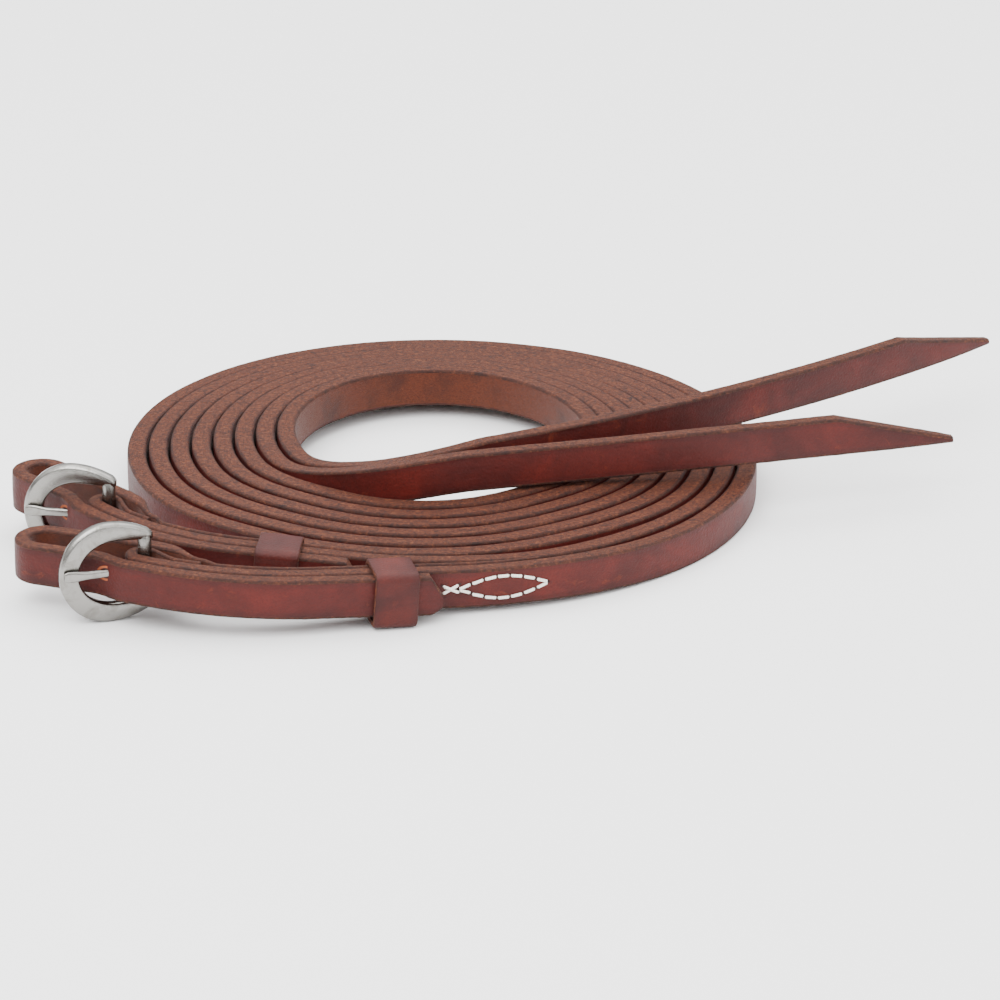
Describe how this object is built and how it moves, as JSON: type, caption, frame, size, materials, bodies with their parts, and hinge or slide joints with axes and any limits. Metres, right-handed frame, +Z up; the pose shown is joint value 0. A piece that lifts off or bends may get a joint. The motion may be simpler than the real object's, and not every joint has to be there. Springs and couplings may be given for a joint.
{
  "type": "leather reins",
  "caption": "Leather split reins coiled together, each with a buckled bit loop, a loose keeper, a stitched end and a pointed tail.",
  "frame": {"origin": "under the middle of the whole object's bounding box, on the floor", "axes": "+X to the right along the front of the coil, towards the tails; +Y from the front of the coil to the back; +Z up, across the width of the straps"},
  "size_m": [0.3212, 0.2228, 0.0334],
  "materials": {
    "strap_leather": "satin",
    "keeper_leather": "satin",
    "buckle_steel": "polished",
    "stitch_thread": "matte"
  },
  "bodies": {
    "straps": {"front_rein_strap": "strap_leather", "front_rein_bit_strap": "strap_leather", "front_rein_fish_stitch": "stitch_thread", "rear_rein_strap": "strap_leather", "rear_rein_bit_strap": "strap_leather", "rear_rein_fish_stitch": "stitch_thread"},
    "front_frame": {"front_rein_buckle_frame": "buckle_steel"},
    "front_tongue": {"front_rein_buckle_tongue": "buckle_steel"},
    "front_keeper": {"front_rein_keeper": "keeper_leather"},
    "rear_frame": {"rear_rein_buckle_frame": "buckle_steel"},
    "rear_tongue": {"rear_rein_buckle_tongue": "buckle_steel"},
    "rear_keeper": {"rear_rein_keeper": "keeper_leather"}
  },
  "joints": [
    {"name": "front_frame_hinge", "type": "hinge", "parent": "straps", "child": "front_frame", "pos_m": [-0.11523, -0.09363, 0.01625], "axis": [0, 0, 1], "range_deg": [-1, 1]},
    {"name": "front_tongue_hinge", "type": "hinge", "parent": "front_frame", "child": "front_tongue", "pos_m": [-0.11523, -0.09363, 0.01625], "axis": [0, 0, 1], "range_deg": [0, 2]},
    {"name": "front_keeper_slide", "type": "slide", "parent": "straps", "child": "front_keeper", "axis": [0.9723, 0.2246, -0.0652], "range_m": [-0.018, 0.005]},
    {"name": "rear_frame_hinge", "type": "hinge", "parent": "straps", "child": "rear_frame", "pos_m": [-0.12847, -0.05166, 0.01625], "axis": [0, 0, 1], "range_deg": [-1, 1]},
    {"name": "rear_tongue_hinge", "type": "hinge", "parent": "rear_frame", "child": "rear_tongue", "pos_m": [-0.12847, -0.05166, 0.01625], "axis": [0, 0, 1], "range_deg": [0, 2]},
    {"name": "rear_keeper_slide", "type": "slide", "parent": "straps", "child": "rear_keeper", "axis": [0.9923, -0.0996, -0.0742], "range_m": [-0.008, 0.005]}
  ]
}
